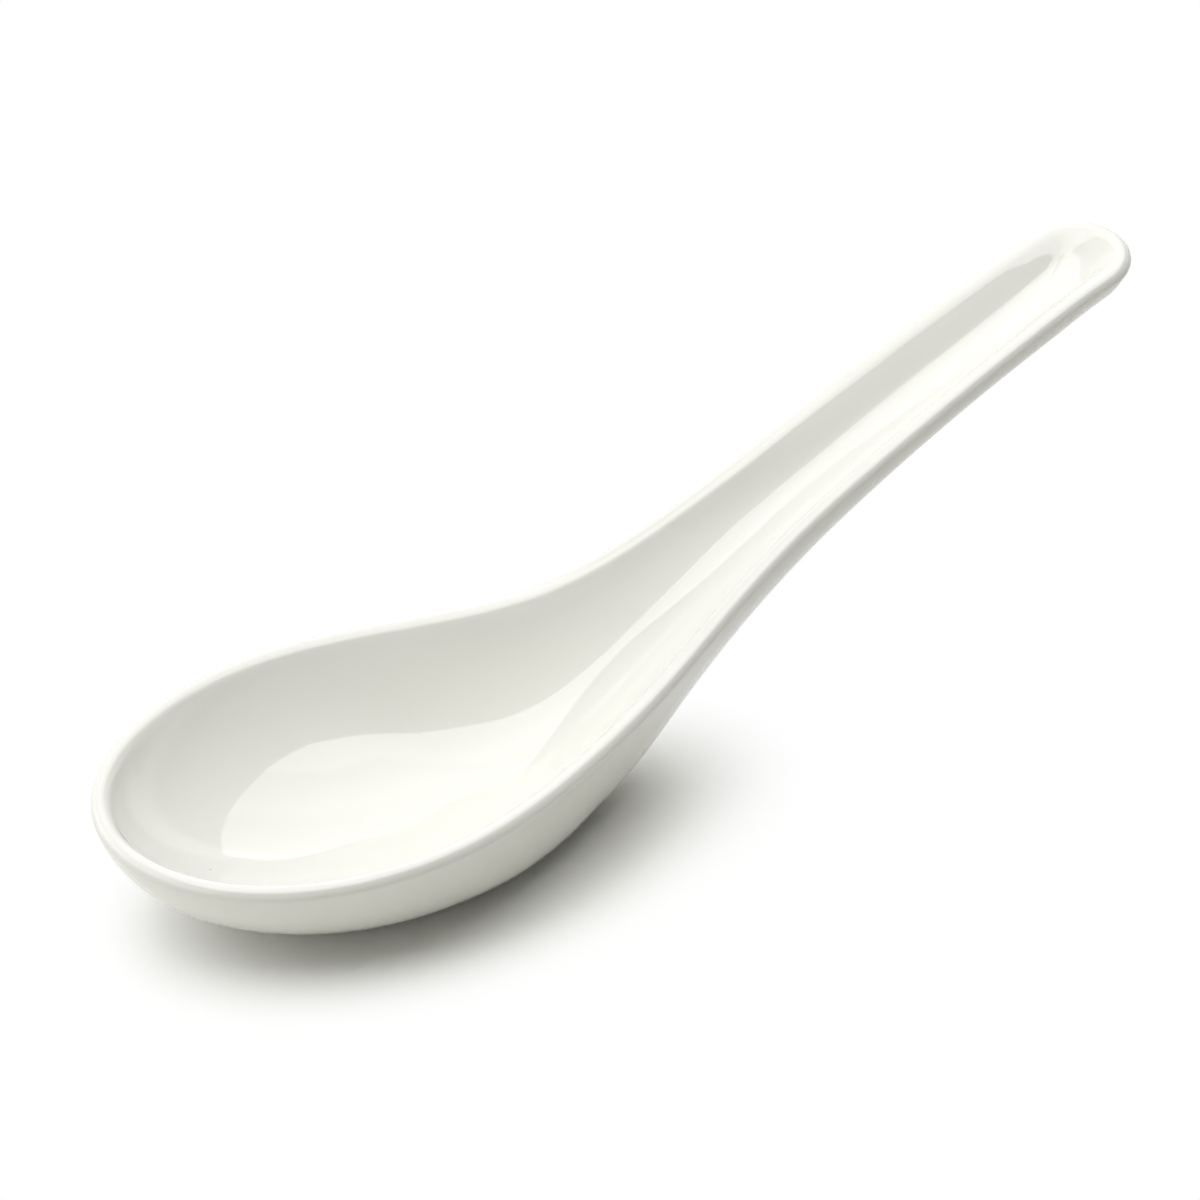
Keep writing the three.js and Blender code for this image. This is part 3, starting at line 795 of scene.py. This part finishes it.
# A value's soft change between limits
def softRange(tree, value, limits):
    node = addNode(tree, "ShaderNodeMapRange", {"interpolation_type": "SMOOTHSTEP"}, Value=value)
    for name, limit in zip(("From Min", "From Max", "To Min", "To Max"), limits):
        node.inputs[name].default_value = limit
    return node.outputs["Result"]


# A plain pale floor that takes the spoon's shadow and goes over into a white backdrop further out
def makeFloor():
    half = studio["floorSize"] / 2
    corners = [(-half, -half, 0), (half, -half, 0), (half, half, 0), (-half, half, 0)]
    mesh = bpy.data.meshes.new("studioFloor")
    mesh.from_pydata(corners, [], [(0, 1, 2, 3)])
    floor = bpy.data.objects.new("studioFloor", mesh)
    bpy.context.scene.collection.objects.link(floor)
    material, tree, shader, coordinates = newMaterial("paleFloor")
    isSeen = raysThatSee(tree)
    color = mixNode(tree, "RGBA", isSeen, studio["floorColor"], studio["seenFloorColor"])
    feed(tree, shader.inputs["Base Color"], color)
    shader.inputs["Roughness"].default_value = 1.0  # quite matt
    shader.inputs["Specular IOR Level"].default_value = 0.0
    backdrop = addNode(tree, "ShaderNodeEmission", Color=studio["worldColor"]).outputs[0]
    fromShadow = doVector(tree, "SUBTRACT", coordinates, studio["shadowMiddle"])
    inOval = doVector(tree, "DIVIDE", fromShadow, studio["shadowReach"])
    fade = softRange(tree, doVector(tree, "DISTANCE", inOval, (0, 0, 0)), studio["floorFade"])
    surface = addNode(tree, "ShaderNodeMixShader", Fac=doMath(tree, "MULTIPLY", fade, isSeen))
    feed(tree, surface.inputs[1], shader.outputs[0])
    feed(tree, surface.inputs[2], backdrop)
    feed(tree, tree.nodes["Material Output"].inputs["Surface"], surface.outputs[0])
    mesh.materials.append(material)


# A pale horizon that fades to a dim ceiling. The light it gives to matt surfaces is weaker than it looks.
def makeWorld():
    world = bpy.data.worlds.new("studioWorld")
    bpy.context.scene.world = world
    world.use_nodes = True
    tree = world.node_tree
    direction = addNode(tree, "ShaderNodeTexCoord").outputs["Generated"]
    height = addNode(tree, "ShaderNodeSeparateXYZ", Vector=direction).outputs["Z"]
    horizon = softRange(tree, height, studio["horizonFade"])
    background = tree.nodes["Background"]
    background.inputs["Color"].default_value = studio["worldColor"]
    strength = mixNode(tree, "FLOAT", raysThatSee(tree), studio["fillStrength"], horizon)
    feed(tree, background.inputs["Strength"], strength)


camera = {
    "azimuth": -32,
    "elevation": 34,
    "distance": 600,  # millimetres
    "target": (21.36, 0, 25.0),
    "focal": 156.3,
    "sensor": 36.0,
    "nearClip": 0.01,  # metres
    "farClip": 100,
}


def makeCamera():
    azimuth = math.radians(camera["azimuth"])
    elevation = math.radians(camera["elevation"])
    level = math.cos(elevation)
    back = Vector((math.sin(azimuth) * level, -math.cos(azimuth) * level, math.sin(elevation)))
    lens = bpy.data.cameras.new("photoCamera")
    lens.lens = camera["focal"]
    lens.sensor_width = camera["sensor"]
    lens.sensor_fit = "HORIZONTAL"
    lens.clip_start = camera["nearClip"]
    lens.clip_end = camera["farClip"]
    view = bpy.data.objects.new("photoCamera", lens)
    view.location = (Vector(camera["target"]) + back * camera["distance"]) * mm
    view.rotation_euler = (-back).to_track_quat("-Z", "Y").to_euler()
    bpy.context.scene.collection.objects.link(view)
    bpy.context.scene.camera = view


# A bank of flat lamps over the spoon, row behind row, whose front right corner is rounded off. One panel
# stands behind and a weaker pair on the left. Metres, as seen from the camera: to the right, away and up.
lampBank = {
    "height": 0.8,
    "leftEnd": -0.46,
    "rightEnd": 0.43,
    "frontEnd": -0.43,
    "corner": (0.35, 0.58),  # length of the rounding along the front and along the side
    "cornerRows": 14,
    "cornerRadiance": 3.05,
    "farRows": ((0.65, 2.1), (1.9, 1.6)),  # where each ends, and its radiance
}

sideLamps = {
    "backSoftbox": {
        "place": (-0.13, 1.9, 0.43), "facing": (0, -1, 0), "size": (0.66, 0.74), "radiance": 1.4},
    "leftSoftbox": {
        "place": (-0.46, 0.43, 0.625), "facing": (1, 0, 0), "size": (1.55, 0.35), "radiance": 0.3},
    "lowLeftSoftbox": {
        "place": (-0.46, -0.2, 0.26), "facing": (1, 0, 0), "size": (1.2, 0.38), "radiance": 1.25},
}


def makeSoftbox(name, place, facing, size, radiance):
    width, depth = size
    light = bpy.data.lights.new(name, "AREA")
    light.shape = "RECTANGLE"
    light.size = width
    light.size_y = depth
    light.energy = radiance * math.pi * width * depth
    lamp = bpy.data.objects.new(name, light)
    turn = Matrix.Rotation(math.radians(camera["azimuth"]), 3, "Z")
    lamp.location = turn @ Vector(place)
    lamp.rotation_euler = (turn @ Vector(facing).to_track_quat("-Z", "Y").to_matrix()).to_euler()
    bpy.context.scene.collection.objects.link(lamp)


def makeLampBank():
    bank = lampBank
    across, along = bank["corner"]
    cornerEnd = bank["frontEnd"] + along
    rowDepth = along / bank["cornerRows"]
    rowsLeft = reversed(range(bank["cornerRows"]))
    cornerRows = [(cornerEnd - rowDepth * k, bank["cornerRadiance"]) for k in rowsLeft]
    near = bank["frontEnd"]
    for far, radiance in (*cornerRows, *bank["farRows"]):
        middle = (near + far) / 2
        intoCorner = max(cornerEnd - middle, 0) / along
        right = bank["rightEnd"] - across * (1 - math.sqrt(1 - intoCorner ** 2))
        place = ((bank["leftEnd"] + right) / 2, middle, bank["height"])
        makeSoftbox("bankRow", place, (0, 0, -1), (right - bank["leftEnd"], far - near), radiance)
        near = far


makeFloor()
makeWorld()
makeLampBank()
for name, values in sideLamps.items():
    makeSoftbox(name, **values)
makeCamera()
bpy.context.scene.view_settings.view_transform = "Standard"
print("studio made")
